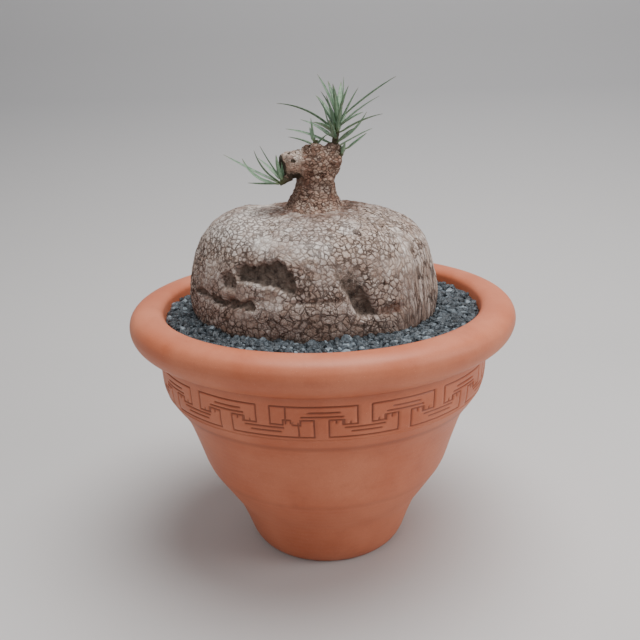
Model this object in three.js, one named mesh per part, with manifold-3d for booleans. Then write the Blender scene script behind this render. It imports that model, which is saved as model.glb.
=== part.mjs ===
// A fat-bodied ipomoea in a terracotta pot: the pot, the potting mix and gravel in it, the swollen caudex,
// its woody stem, four young shoots and their narrow leaves.
// Millimetres, +Z up, origin at the centre of the pot's foot on the ground. -Y is the front, +X the right side.
import * as THREE from "three";
import { mergeVertices } from "three/addons/utils/BufferGeometryUtils.js";
import Module from "manifold-3d";

const wasm = await Module();
wasm.setup();

// ---- driving dimensions ----

const gap = 0.3; // clearance between pieces that touch
const potSides = 52;
const curveSteps = 3; // stretches that each round part of the pot's profile is split into

const rim = { radius: 165, lipRadius: 135.7, top: 224.2, thickness: 29.4, roundness: 15 };
const foot = { radius: 62, wallStart: 15 };
const floorTop = 10; // top of the pot's floor
const drain = { radius: 12.5, chamfer: 1.5 };
const gravelTop = 213.5;
const gravelDepth = 14;

const caudexCentre = { x: -4.6, y: 2 };
const caudexDepthShare = 0.92; // front to back size over its width
const stemCentre = { x: -3, y: 2 };

// ---- solids ----

function solidOf(geometry) {
  const bare = geometry.clone();
  bare.deleteAttribute("normal");
  bare.deleteAttribute("uv");
  const merged = mergeVertices(bare, 1e-3);
  return new wasm.Manifold(
    new wasm.Mesh({
      numProp: 3,
      vertProperties: new Float32Array(merged.attributes.position.array),
      triVerts: new Uint32Array(merged.index.array),
    }),
  );
}

function geometryOf(solid) {
  const mesh = solid.getMesh();
  const geometry = new THREE.BufferGeometry();
  geometry.setAttribute("position", new THREE.BufferAttribute(new Float32Array(mesh.vertProperties), 3));
  geometry.setIndex(new THREE.BufferAttribute(new Uint32Array(mesh.triVerts), 1));
  const flat = geometry.toNonIndexed();
  flat.computeVertexNormals();
  return flat;
}

// The biggest body of a solid that a cut may have left in pieces.
function biggest(solid) {
  return solid.decompose().reduce((a, b) => (a.volume() > b.volume() ? a : b));
}

// A profile of radius and height points turned about the vertical axis.
function turned(profile, sides) {
  return new THREE.LatheGeometry(profile, sides).rotateX(Math.PI / 2);
}

const point = (radius, height) => new THREE.Vector2(radius, height);

// Moves each vertex of a geometry to where the function puts it.
function reshape(geometry, place) {
  const position = geometry.attributes.position;
  const v = new THREE.Vector3();
  for (let i = 0; i < position.count; i++) {
    place(v.fromBufferAttribute(position, i));
    position.setXYZ(i, v.x, v.y, v.z);
  }
  geometry.computeVertexNormals();
  return geometry;
}

const radians = THREE.MathUtils.degToRad;
const smooth = (x, from, to) => THREE.MathUtils.smoothstep(x, from, to);
const bump = (x, centre, width) => Math.exp(-(((x - centre) / width) ** 2));

// ---- pot ----

function potOutside() {
  const rimCentre = { radius: rim.radius - rim.roundness, height: rim.top - rim.thickness / 2 };
  const path = new THREE.Path();
  path.moveTo(foot.radius, 0);
  path.quadraticCurveTo(67.5, 2.5, 71.9, foot.wallStart);
  path.lineTo(83.4, 44.5); // wall of the foot
  path.lineTo(87.1, 50);
  path.lineTo(104.6, 77); // bowl
  path.lineTo(106, 78.4);
  path.bezierCurveTo(111.5, 96, 118.5, 121, 130.6, 142); // body
  path.lineTo(131.8, 142.8);
  path.quadraticCurveTo(139.5, 152.5, 141, 170); // band
  path.lineTo(142.4, 186.5);
  path.bezierCurveTo(143.5, 190.5, 149, 190.5, 155, 195.7); // underside of the rim
  path.absellipse(
    rimCentre.radius, rimCentre.height, rim.roundness, rim.thickness / 2,
    radians(-66), radians(90),
  );
  path.lineTo(145, rim.top);
  path.quadraticCurveTo(137.3, rim.top - 0.6, rim.lipRadius, 217.4); // lip
  return path.getPoints(curveSteps);
}

function potInside() {
  const path = new THREE.Path();
  path.moveTo(134.7, 212);
  path.lineTo(133.4, 199);
  path.lineTo(131.8, 172);
  path.lineTo(128.4, 154);
  path.lineTo(119.6, 138);
  path.lineTo(98, 80);
  path.lineTo(76, 47);
  path.lineTo(64.4, 18);
  path.quadraticCurveTo(62.5, floorTop, 55, floorTop);
  return path.getPoints(curveSteps);
}

function pot() {
  const hole = [
    point(drain.radius, floorTop),
    point(drain.radius, drain.chamfer),
    point(drain.radius + drain.chamfer, 0),
  ];
  const outside = potOutside();
  return turned([...outside, ...potInside(), ...hole, outside[0]], potSides);
}

// What fills the pot between two heights, with a clearance to the wall, as a closed profile.
function fillProfile(bottom, top) {
  const wall = potInside();
  const radiusAt = (height) => {
    const i = wall.findIndex(({ y }) => y <= height);
    if (i <= 0) return wall[0].x;
    return THREE.MathUtils.mapLinear(height, wall[i].y, wall[i - 1].y, wall[i].x, wall[i - 1].x);
  };
  const corners = wall.map(({ y }) => y).filter((height) => height > bottom + 1 && height < top - 1);
  const side = [bottom, ...corners.reverse(), top].map((height) => point(radiusAt(height) - gap, height));
  return [point(0, bottom), ...side, point(0, top)];
}

function gravel() {
  const bed = solidOf(turned(fillProfile(gravelTop - gravelDepth, gravelTop), potSides));
  return geometryOf(biggest(bed.subtract(solidOf(caudex(gap)))));
}

function pottingMix() {
  const mix = solidOf(turned(fillProfile(floorTop + gap, gravelTop - gravelDepth - gap), potSides));
  return geometryOf(biggest(mix.subtract(solidOf(caudex(gap)))));
}

// ---- caudex ----

// From the tip of the taproot up to the crown, before the lobes and folds are added.
const caudexProfile = new THREE.SplineCurve([
  point(0, 120), point(13, 138), point(58, 167), point(95, 192), point(104.4, 222), point(103.2, 252),
  point(86, 285.5), point(45, 300.8), point(0, 304.4),
]).getPoints(20);

// Broad lobes, a raised left shoulder, and the fold with the fuller tier under it that runs round the front.
// `grow` swells the whole surface, to cut a clearance in a neighbour.
function caudex(grow = 0) {
  const body = turned(caudexProfile, 42);
  return reshape(body, (v) => {
    const angle = Math.atan2(v.y, v.x);
    const radius = Math.hypot(v.x, v.y);
    const upper = smooth(v.z, 200, 230);
    const lobes = 0.014 * Math.cos(3 * angle + 0.9) + 0.01 * Math.cos(5 * angle + 2.2);
    const facingFrontLeft = smooth(Math.cos(angle + radians(112)), 0.1, 0.75);
    const fold = facingFrontLeft * (0.015 * bump(v.z, 229, 8) - 0.045 * bump(v.z, 243, 6));
    const scale = 1 + upper * (lobes + fold);
    const shoulder = 5.5 * smooth(-v.x, 42, 68) * smooth(v.z, 270, 294);
    const swell = radius > 0.01 ? grow / radius : 0; // the poles stay on the axis
    const away = Math.sign(v.z - 226) * grow * (1 - smooth(radius, 70, 112));
    v.x = v.x * (scale + swell) + caudexCentre.x;
    v.y = v.y * (scale + swell) * caudexDepthShare + caudexCentre.y;
    v.z += shoulder + away;
  });
}

// ---- stem ----

// A closed round bar along a list of points, thick or thin as radii (one for each point) say, its width over
// its thickness being `flat`. `side` is the direction of its width.
function bar(points, radii, { sides = 12, flat = 1, side = new THREE.Vector3(0, 1, 0) } = {}) {
  const last = points.length - 1;
  const profile = [point(0, 0), ...radii.map((radius, i) => point(radius, i)), point(0, last)];
  const along = points.map((p, i) =>
    points[Math.min(i + 1, last)].clone().sub(points[Math.max(i - 1, 0)]).normalize(),
  );
  return reshape(turned(profile, sides), (v) => {
    const i = Math.round(v.z);
    const across = side.clone().addScaledVector(along[i], -side.dot(along[i])).normalize();
    const normal = new THREE.Vector3().crossVectors(along[i], across);
    const { x, y } = v;
    v.copy(points[i]).addScaledVector(across, x).addScaledVector(normal, y / flat);
  });
}

const xyz = (x, y, z) => new THREE.Vector3(x, y, z);

function neckProfile() {
  const path = new THREE.Path();
  path.moveTo(0, 292);
  path.lineTo(40, 292);
  path.splineThru([point(36, 302.5), point(25, 310), point(19.4, 320), point(18.4, 331), point(18.2, 345)]);
  path.splineThru([point(13, 350.8), point(0, 353.5)]);
  return path.getPoints(curveSteps);
}

const branch = {
  points: [xyz(-1, 2, 338), xyz(-10, -1, 339), xyz(-19, -5, 339), xyz(-26, -8, 338), xyz(-29, -9.5, 337.5)],
  radii: [12, 12.5, 12, 11.5, 9.5],
};

// The neck that flares out of the caudex, and the short cut-back branch on its left.
function stem(grow = 0) {
  const neck = reshape(turned(neckProfile(), 24), (v) => {
    const swell = 1 + (grow + 0.8 * Math.cos(4 * Math.atan2(v.y, v.x) + v.z / 9)) / 18;
    v.x = v.x * swell + stemCentre.x + 6 * smooth(v.z, 335, 350);
    v.y = v.y * swell * 0.92 + stemCentre.y;
    v.z += grow;
  });
  const radii = branch.radii.map((radius) => radius + grow);
  const arm = bar(branch.points, radii, { sides: 16 });
  const solid = solidOf(neck).add(solidOf(arm));
  return biggest(solid.subtract(solidOf(caudex(gap))));
}

// ---- shoots and leaves ----

// Each shoot's foot, tip and the radii there, and its leaves. A leaf leaves its shoot at a share of the
// shoot's length, heading `towards` (degrees, 0 right, 90 back, 180 left, 270 front) and rising by `rise`
// degrees, which changes by `bend` over its length.
const shoots = {
  crown: {
    foot: xyz(14, 0, 348),
    tip: xyz(18.5, -1, 381),
    radii: [3.4, 1.5],
    leaves: [
      { at: 0.98, towards: 10, rise: 80, length: 27, bend: 8 },
      { at: 0.97, towards: 305, rise: 64, length: 24, bend: -8 },
      { at: 0.9, towards: 176, rise: 72, length: 35, bend: -12 },
      { at: 0.86, towards: 80, rise: 62, length: 32, bend: -14 },
      { at: 0.82, towards: 355, rise: 40, length: 55, bend: -10 },
      { at: 0.78, towards: 212, rise: 66, length: 27, bend: -12 },
      { at: 0.74, towards: 262, rise: 66, length: 26, bend: -12 },
      { at: 0.66, towards: 128, rise: 52, length: 34, bend: -20 },
      { at: 0.64, towards: 22, rise: 38, length: 42, bend: -14 },
      { at: 0.62, towards: 312, rise: 30, length: 30, bend: -12 },
      { at: 0.56, towards: 236, rise: 68, length: 30, bend: -4 },
      { at: 0.52, towards: 182, rise: 48, length: 52, bend: -42 },
      { at: 0.48, towards: 284, rise: 62, length: 30, bend: -14 },
      { at: 0.45, towards: 340, rise: 34, length: 40, bend: -22 },
      { at: 0.42, towards: 66, rise: 42, length: 34, bend: -20 },
      { at: 0.36, towards: 210, rise: 70, length: 31, bend: 6 },
      { at: 0.34, towards: 155, rise: 38, length: 32, bend: -22 },
      { at: 0.3, towards: 256, rise: 50, length: 27, bend: -18 },
      { at: 0.26, towards: 8, rise: 24, length: 33, bend: 40 },
      { at: 0.22, towards: 306, rise: 40, length: 26, bend: -18 },
      { at: 0.18, towards: 170, rise: 30, length: 40, bend: -22 },
      { at: 0.12, towards: 30, rise: 24, length: 36, bend: -8 },
      { at: 0.95, towards: 240, rise: 76, length: 24, bend: -6 },
      { at: 0.92, towards: 126, rise: 70, length: 28, bend: -8 },
      { at: 0.7, towards: 328, rise: 60, length: 33, bend: -4 },
      { at: 0.6, towards: 158, rise: 62, length: 27, bend: -4 },
      { at: 0.46, towards: 236, rise: 30, length: 34, bend: -20 },
      { at: 0.42, towards: 104, rise: 58, length: 30, bend: -10 },
    ],
  },
  small: {
    foot: xyz(-1, -3, 350),
    tip: xyz(-1.5, -3.5, 358),
    radii: [3.2, 1.8],
    leaves: [
      { at: 0.9, towards: 220, rise: 82, length: 19, bend: 6 },
      { at: 0.8, towards: 120, rise: 66, length: 13, bend: -10 },
      { at: 0.7, towards: 330, rise: 46, length: 12, bend: -14 },
      { at: 0.6, towards: 184, rise: 28, length: 21, bend: -18 },
    ],
  },
  spur: {
    foot: xyz(16, -3, 341),
    tip: xyz(22.5, -5, 351),
    radii: [2.6, 1.2],
    leaves: [
      { at: 0.9, towards: 345, rise: 34, length: 22, bend: 6 },
      { at: 0.7, towards: 104, rise: 30, length: 12, bend: -8 },
      { at: 0.5, towards: 300, rise: 66, length: 12, bend: -6 },
    ],
  },
  left: {
    foot: xyz(-24, -8, 331),
    tip: xyz(-31, -11, 324),
    radii: [4, 2],
    leaves: [
      { at: 0.95, towards: 184, rise: 4, length: 38, bend: 68 },
      { at: 0.85, towards: 212, rise: 2, length: 29, bend: 10 },
      { at: 0.8, towards: 166, rise: 22, length: 52, bend: 8 },
      { at: 0.66, towards: 208, rise: 26, length: 36, bend: 50 },
      { at: 0.6, towards: 140, rise: 40, length: 30, bend: -12 },
      { at: 0.5, towards: 226, rise: 66, length: 22, bend: 20 },
      { at: 0.4, towards: 176, rise: 54, length: 32, bend: 10 },
      { at: 0.3, towards: 196, rise: 86, length: 36, bend: 34 },
    ],
  },
};

const leafShape = { halfWidth: 1.5, flat: 2.4, rings: 5, sides: 6 };

function shoot({ foot, tip, radii }, grow = 0) {
  const middle = foot.clone().lerp(tip, 0.5);
  const [low, high] = radii.map((radius) => radius + grow);
  const points = [foot, middle, tip];
  return solidOf(bar(points, [low, (low + high) / 2, high], { sides: 8, side: xyz(0.2, 1, 0.1) }));
}

// The points of a leaf's midline, from the shoot's skin to the leaf's tip.
function leafMidline({ foot, tip, radii }, { at, towards, rise, length, bend }, rings) {
  const heading = xyz(Math.cos(radians(towards)), Math.sin(radians(towards)), 0);
  const skin = THREE.MathUtils.lerp(radii[0], radii[1], at) + gap;
  const here = foot.clone().lerp(tip, at).addScaledVector(heading, skin);
  const points = [here.clone()];
  for (let i = 0; i < rings; i++) {
    const pitch = radians(rise + (bend * (i + 0.5)) / rings);
    here.addScaledVector(heading, (Math.cos(pitch) * length) / rings);
    here.z += (Math.sin(pitch) * length) / rings;
    points.push(here.clone());
  }
  return points;
}

// A narrow blade, fullest a quarter of the way along and tapering to a point.
function leaf(parent, shape) {
  const points = leafMidline(parent, shape, leafShape.rings);
  const radii = points.map((_, i) => {
    const t = i / leafShape.rings;
    return leafShape.halfWidth * (0.6 + 0.4 * smooth(t, 0, 0.25)) * (1 - 0.88 * t ** 2.5);
  });
  const turn = radians(shape.towards);
  const side = xyz(-Math.sin(turn), Math.cos(turn), 0);
  return solidOf(bar(points, radii, { sides: leafShape.sides, flat: leafShape.flat, side }));
}

// ---- the plant in its pot ----

const finishes = {
  terracotta: new THREE.MeshStandardMaterial({ color: 0xc4795a, roughness: 0.6, metalness: 0 }),
  mix: new THREE.MeshStandardMaterial({ color: 0x3a2c22, roughness: 1, metalness: 0 }),
  grit: new THREE.MeshStandardMaterial({ color: 0x4a5257, roughness: 0.85, metalness: 0 }),
  bark: new THREE.MeshStandardMaterial({ color: 0xb5a795, roughness: 0.9, metalness: 0 }),
  wood: new THREE.MeshStandardMaterial({ color: 0x9c8471, roughness: 0.9, metalness: 0 }),
  shoot: new THREE.MeshStandardMaterial({ color: 0x5d5a3c, roughness: 0.8, metalness: 0 }),
  leaf: new THREE.MeshStandardMaterial({ color: 0x5f8060, roughness: 0.6, metalness: 0 }),
};

function piece(name, geometry, finish) {
  const mesh = new THREE.Mesh(geometry, finish);
  mesh.name = name;
  return mesh;
}

// A shoot and its leaves, each trimmed to stay clear of what it grows from.
function growth(name, parent, stemRoom) {
  const branchlet = new THREE.Group();
  const stalk = biggest(shoot(parent).subtract(stemRoom));
  branchlet.add(piece(`shoot_${name}`, geometryOf(stalk), finishes.shoot));
  const room = shoot(parent, gap).add(stemRoom);
  parent.leaves.forEach((shape, i) => {
    const blade = biggest(leaf(parent, shape).subtract(room));
    const number = String(i + 1).padStart(2, "0");
    branchlet.add(piece(`leaf_${name}_${number}`, geometryOf(blade), finishes.leaf));
  });
  return branchlet;
}

const planter = new THREE.Group();
planter.add(
  piece("pot", pot(), finishes.terracotta),
  piece("potting_mix", pottingMix(), finishes.mix),
  piece("gravel", gravel(), finishes.grit),
);

const plant = new THREE.Group();
plant.add(
  piece("caudex", caudex(), finishes.bark),
  piece("stem", geometryOf(stem()), finishes.wood),
);
const stemRoom = stem(gap);
for (const [name, parent] of Object.entries(shoots)) {
  plant.add(growth(name, parent, stemRoom));
}

export default new THREE.Group().add(planter, plant);
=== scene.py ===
import math
import bpy
import numpy as np
from mathutils import Matrix, Vector


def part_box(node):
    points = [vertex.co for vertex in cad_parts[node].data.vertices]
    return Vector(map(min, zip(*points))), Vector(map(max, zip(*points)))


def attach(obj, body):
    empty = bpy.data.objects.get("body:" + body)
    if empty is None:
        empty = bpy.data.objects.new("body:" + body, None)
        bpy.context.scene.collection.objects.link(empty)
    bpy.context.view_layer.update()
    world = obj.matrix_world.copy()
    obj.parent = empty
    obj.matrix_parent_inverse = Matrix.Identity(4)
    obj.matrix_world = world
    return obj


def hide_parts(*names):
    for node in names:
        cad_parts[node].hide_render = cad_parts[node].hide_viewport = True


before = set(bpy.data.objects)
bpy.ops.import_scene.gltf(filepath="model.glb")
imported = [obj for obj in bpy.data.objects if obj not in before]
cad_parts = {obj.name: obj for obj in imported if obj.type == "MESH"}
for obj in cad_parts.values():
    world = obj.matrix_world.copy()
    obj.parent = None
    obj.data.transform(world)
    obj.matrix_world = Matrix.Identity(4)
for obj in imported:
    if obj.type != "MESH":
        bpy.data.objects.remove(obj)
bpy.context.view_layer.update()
print("frame loaded:", len(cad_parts), "nodes")

mm = 0.001


def randomAt(ix, iy, iz, seed):
    # a hash of whole-number lattice points, from 0 to 1
    n = ix * 73856093 + iy * 19349663 + iz * 83492791 + seed * 2654435
    n = (n ^ (n >> 13)) & 0x7FFFFFFF
    n = (n * 1274126177) & 0x7FFFFFFF
    n = (n ^ (n >> 15)) & 0x7FFFFFFF
    n = (n * 668265263) & 0x7FFFFFFF
    return ((n ^ (n >> 14)) & 0xFFFFFF) / 0xFFFFFF


def noise(p, size, seed):
    # random values on a lattice, blended smoothly between its points, from -1 to 1
    q = p / size + 1000.0
    i = np.floor(q).astype(np.int64)
    f = q - i
    f = f * f * (3 - 2 * f)
    total = 0.0
    for dx in (0, 1):
        for dy in (0, 1):
            for dz in (0, 1):
                share = np.where(dx, f[..., 0], 1 - f[..., 0]) * np.where(dy, f[..., 1], 1 - f[..., 1])
                share = share * np.where(dz, f[..., 2], 1 - f[..., 2])
                total = total + share * randomAt(i[..., 0] + dx, i[..., 1] + dy, i[..., 2] + dz, seed)
    return total * 2 - 1


def fractal(p, size, octaves, seed):
    # a sum of noises, each half as big and half as strong as the one before
    total = 0.0
    for k in range(octaves):
        total = total + noise(p, size / 2 ** k, seed + 17 * k) / 2 ** k
    return total


def smooth(x, start, end):
    # 0 before start, 1 after end, with no corner at either
    t = np.clip((x - start) / (end - start), 0, 1)
    return t * t * (3 - 2 * t)


def bump(x, centre, width):
    return np.exp(-(((x - centre) / width) ** 2))


def curveThrough(points, count):
    # a smooth curve through given points, as evenly spaced points along it
    p = np.array(points, float)
    p = np.vstack([2 * p[0] - p[1], p, 2 * p[-1] - p[-2]])
    t = np.linspace(0, 1, 24, endpoint=False)[:, None]
    parts = []
    for a, b, c, d in zip(p[:-3], p[1:-2], p[2:-1], p[3:]):
        parts.append(0.5 * (2 * b + (c - a) * t + (2 * a - 5 * b + 4 * c - d) * t ** 2
                            + (3 * b - a - 3 * c + d) * t ** 3))
    dense = np.vstack(parts + [p[-2:-1]])
    along = np.concatenate([[0], np.cumsum(np.linalg.norm(np.diff(dense, axis=0), axis=1))])
    want = np.linspace(0, along[-1], count)
    return np.stack([np.interp(want, along, dense[:, k]) for k in range(dense.shape[1])], axis=1)


def gridFaces(rows, columns, closed):
    # the quads between neighbouring rows and columns, wrapping round where the surface closes on itself
    k = np.arange(columns if closed else columns - 1)
    j = np.arange(rows - 1)[:, None]
    right = (k + 1) % columns
    a, b = j * columns + k, j * columns + right
    return np.stack([a, b, b + columns, a + columns], axis=-1).reshape(-1, 4)


def meshFrom(name, points, quads, triangles=None, shadeSmooth=True):
    # points in millimetres
    mesh = bpy.data.meshes.new(name)
    triangles = np.zeros((0, 3), int) if triangles is None else triangles
    corners = np.concatenate([quads.ravel(), triangles.ravel()]).astype(np.int32)
    sizes = np.concatenate([np.full(len(quads), 4), np.full(len(triangles), 3)])
    starts = np.concatenate([[0], np.cumsum(sizes)[:-1]]).astype(np.int32)
    mesh.vertices.add(len(points))
    mesh.vertices.foreach_set("co", (points * mm).astype(np.float32).ravel())
    mesh.loops.add(len(corners))
    mesh.loops.foreach_set("vertex_index", corners)
    mesh.polygons.add(len(sizes))
    mesh.polygons.foreach_set("loop_start", starts)
    mesh.update(calc_edges=True)
    mesh.validate()
    mesh.polygons.foreach_set("use_smooth", np.full(len(mesh.polygons), shadeSmooth))
    piece = bpy.data.objects.new(name, mesh)
    bpy.context.scene.collection.objects.link(piece)
    return piece


def setAttribute(piece, name, values):
    # one number, or one vector of three, at every vertex
    values = np.asarray(values, np.float32)
    isVector = values.ndim > 1 and values.shape[-1] == 3 and values.size == 3 * len(piece.data.vertices)
    layer = piece.data.attributes.new(name, "FLOAT_VECTOR" if isVector else "FLOAT", "POINT")
    layer.data.foreach_set("vector" if isVector else "value", values.ravel())


def finishPiece(piece, slotName, material, *nodes):
    piece.data.materials.append(material)
    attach(piece, "root")
    if nodes:
        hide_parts(*nodes)


def gridNormals(points, closed):
    # across a grid of rows and columns, the cross product of the steps along each
    if closed:
        du = np.roll(points, -1, axis=1) - np.roll(points, 1, axis=1)
    else:
        du = np.gradient(points, axis=1)
    dv = np.gradient(points, axis=0)
    n = np.cross(du, dv)
    return n / (np.linalg.norm(n, axis=-1, keepdims=True) + 1e-9)


def nodePoints(node):
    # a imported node's own vertices, in millimetres
    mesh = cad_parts[node].data
    points = np.empty(len(mesh.vertices) * 3, np.float32)
    mesh.vertices.foreach_get("co", points)
    return np.unique(points.reshape(-1, 3).astype(float).round(7), axis=0) / mm


def newMaterial(name):
    material = bpy.data.materials.new(name)
    material.use_nodes = True
    nodes = material.node_tree.nodes
    return material, nodes, material.node_tree.links, nodes["Principled BSDF"]


def nodeOf(nodes, kind, inputs=None, **settings):
    node = nodes.new(kind)
    for key, value in settings.items():
        setattr(node, key, value)
    for key, value in (inputs or {}).items():
        node.inputs[key].default_value = value
    return node


def rgba(colour):
    # from a colour as it is seen on a screen, 0 to 255, to the light it reflects
    c = np.array(colour, float) / 255
    c = np.where(c <= 0.04045, c / 12.92, ((c + 0.055) / 1.055) ** 2.4)
    return (float(c[0]), float(c[1]), float(c[2]), 1.0)


def textureAt(nodes, links, kind, scale, where=None, inputs=None, **settings):
    # a pattern on Object coordinates, so that it stays with the piece
    texture = nodeOf(nodes, kind, {"Scale": scale, **(inputs or {})}, **settings)
    if where is None:
        where = nodeOf(nodes, "ShaderNodeTexCoord").outputs["Object"]
    links.new(where, texture.inputs["Vector"])
    return texture


def ramp(nodes, links, source, low, high, toLow=0.0, toHigh=1.0):
    node = nodeOf(nodes, "ShaderNodeMapRange", {"From Min": low, "From Max": high,
                                                "To Min": toLow, "To Max": toHigh})
    links.new(source, node.inputs["Value"])
    return node.outputs["Result"]


def combine(nodes, links, operation, a, b):
    node = nodeOf(nodes, "ShaderNodeMath", operation=operation)
    for socket, value in zip(node.inputs, (a, b)):
        if isinstance(value, (int, float)):
            socket.default_value = value
        else:
            links.new(value, socket)
    return node.outputs[0]


def mixColour(nodes, links, share, a, b, blend="MIX"):
    node = nodeOf(nodes, "ShaderNodeMix", data_type="RGBA", blend_type=blend)
    for socket, value in ((node.inputs[0], share), (node.inputs[6], a), (node.inputs[7], b)):
        if isinstance(value, (int, float, tuple)):
            socket.default_value = value
        else:
            links.new(value, socket)
    return node.outputs[2]


def bumpOn(nodes, links, height, strength, distance, under=None):
    node = nodeOf(nodes, "ShaderNodeBump", {"Strength": strength, "Distance": distance})
    links.new(height, node.inputs["Height"])
    if under is not None:
        links.new(under, node.inputs["Normal"])
    return node.outputs["Normal"]


def attribute(nodes, name):
    return nodeOf(nodes, "ShaderNodeAttribute", attribute_name=name).outputs["Fac"]


studio = {
    "cameraPlace": (-0.00205, -0.7088, 0.4310),
    "cameraPitch": 17.73,      # degrees below level
    "cameraRoll": 1.78,        # degrees
    "lens": 47.8,
    "shiftY": -0.003,
    "floor": (204, 201, 199),
    "wall": (160, 159, 160),
    "wallDistance": 0.9,
    "key": 29, "keyPlace": (0.2, 0.0, 1.55), "keySize": 1.2,
    "fill": 4.0, "fillPlace": (-0.7, -1.5, 1.1), "fillSize": 1.2,
    "window": 8.5, "windowPlace": (1.3, -0.45, 0.75), "windowSize": 0.8,
    "ambient": 0.36,
}


def makeCamera(s):
    data = bpy.data.cameras.new("camera")
    data.lens, data.sensor_width, data.shift_y = s["lens"], 36, s["shiftY"]
    data.clip_start, data.clip_end = 0.01, 50
    camera = bpy.data.objects.new("camera", data)
    bpy.context.scene.collection.objects.link(camera)
    camera.location = s["cameraPlace"]
    pitch, roll = math.radians(s["cameraPitch"]), math.radians(s["cameraRoll"])
    ahead = np.array([0, math.cos(pitch), -math.sin(pitch)])
    right, up = np.array([1.0, 0, 0]), np.array([0, math.sin(pitch), math.cos(pitch)])
    turnedRight = math.cos(roll) * right - math.sin(roll) * up
    turnedUp = math.sin(roll) * right + math.cos(roll) * up
    rotation = Matrix([list(row) for row in np.stack([turnedRight, turnedUp, -ahead], axis=1)])
    camera.rotation_euler = rotation.to_euler()
    bpy.context.scene.camera = camera


def makeLight(name, place, size, power, target=(0, 0, 0.22)):
    data = bpy.data.lights.new(name, "AREA")
    data.shape, data.size, data.energy = "DISK", size, power
    light = bpy.data.objects.new(name, data)
    bpy.context.scene.collection.objects.link(light)
    light.location = place
    light.rotation_euler = (Vector(target) - Vector(place)).to_track_quat("-Z", "Y").to_euler()


def makeStudio(s):
    # the floor is a plane that curves up into a wall well behind the object
    x = np.linspace(-4000, 4000, 9)
    back = s["wallDistance"] * 1000
    turn = np.linspace(0, math.pi / 2, 25)
    bend = 450
    profile = np.vstack([
        [[-4000, 0], [-1000, 0], [0, 0], [back - bend, 0]],
        np.stack([back - bend + bend * np.sin(turn), bend - bend * np.cos(turn)], axis=1)[1:],
        [[back, 4000]]])
    points = np.zeros((len(profile), len(x), 3))
    points[..., 0] = x
    points[..., 1] = profile[:, :1]
    points[..., 2] = profile[:, 1:] - 0.05
    floor = meshFrom("floor", points.reshape(-1, 3), gridFaces(len(profile), len(x), False))
    material, nodes, links, shader = newMaterial("backdrop")
    height = nodeOf(nodes, "ShaderNodeSeparateXYZ")
    links.new(nodeOf(nodes, "ShaderNodeTexCoord").outputs["Object"], height.inputs[0])
    up = ramp(nodes, links, height.outputs["Z"], 0.0, 0.35)
    links.new(mixColour(nodes, links, up, rgba(s["floor"]), rgba(s["wall"])), shader.inputs["Base Color"])
    shader.inputs["Roughness"].default_value = 0.9
    shader.inputs["Specular IOR Level"].default_value = 0.1
    floor.data.materials.append(material)
    makeLight("key", s["keyPlace"], s["keySize"], s["key"])
    makeLight("fill", s["fillPlace"], s["fillSize"], s["fill"])
    makeLight("window", s["windowPlace"], s["windowSize"], s["window"])
    world = bpy.data.worlds.new("studio")
    world.use_nodes = True
    world.node_tree.nodes["Background"].inputs["Color"].default_value = (0.95, 0.97, 1.0, 1)
    world.node_tree.nodes["Background"].inputs["Strength"].default_value = s["ambient"]
    bpy.context.scene.world = world


makeCamera(studio)
makeStudio(studio)
print("camera, light and floor made")


potValues = {
    "clay": (190, 104, 70), "paleClay": (207, 126, 93), "darkClay": (152, 76, 49),
    # the darkest clay colour is painted shade for the grooves, the creases and under the rim
    "paintedShadeClay": (104, 50, 33),
    "roughness": 0.47,
    "grooveDepth": 1.15, "grooveHalfWidth": 0.38, "grooveSlope": 0.5,
    "stemStep": 13.1, "seamStep": 18.0, "seamAfter": (6, 7, 6, 7), "firstStem": -1.3,
    "patternLow": 156.3, "patternHigh": 181.7,
    "wobble": 0.45,
}


def keyPattern(v):
    # Anchors stand up from the lower line and hang down from the upper one in turn. Each is a stem of two
    # lines, a bar with its ends turned back towards the root, and two inner lines along the bar.
    # Returns the lines as [from degrees, from height, to degrees, to height].
    low, high = v["patternLow"], v["patternHigh"]
    middle = (low + high) / 2
    lines = []
    place, stems, seams = v["firstStem"], [], []
    rising = True
    for count in v["seamAfter"]:
        for k in range(count):
            stems.append((place, rising))
            rising = not rising
            last = k == count - 1
            if last:
                seams.append(place)
            place += v["seamStep"] if last else v["stemStep"]
    spare = (360 - (place - v["firstStem"])) / len(stems)
    stems = [(at + spare * k, up) for k, (at, up) in enumerate(stems)]
    for k, (at, up) in enumerate(stems):
        following = stems[(k + 1) % len(stems)][0] + (360 if k + 1 == len(stems) else 0)
        afterThat = stems[(k + 2) % len(stems)][0] + (360 if k + 2 >= len(stems) else 0)
        flip = 1 if up else -1

        def line(fromAt, fromHeight, toAt, toHeight):
            # heights are measured from the anchor's root line
            root = low if up else high
            lines.append([at + fromAt, root + flip * fromHeight, at + toAt, root + flip * toHeight])

        line(2.25, 0, afterThat - at - 2.25, 0)  # root line to the next anchor of the same kind
        for side in (-1, 1):
            line(side * 2.25, 0, side * 2.25, 14.7)
            line(side * 2.25, 14.7, side * 6.3, 14.7)
            line(side * 6.3, 14.7, side * 6.3, 10.7)
            line(side * 6.3, 10.7, side * 8.7, 10.7)
            line(side * 8.7, 10.7, side * 8.7, 13.2)
        line(-6.0, 17.3, 6.4, 17.3)
        line(-4.0, 20.7, 5.4, 20.7)
        if following - at > v["stemStep"] + 2:
            extra = following - at - v["stemStep"]
            line(2.25 + extra, 1.0, 2.25 + extra, 13.5)
            line(11.0, 25.4 - 1.5, 11.0, 25.4 - 13.0)
    return np.array(lines), middle


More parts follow.
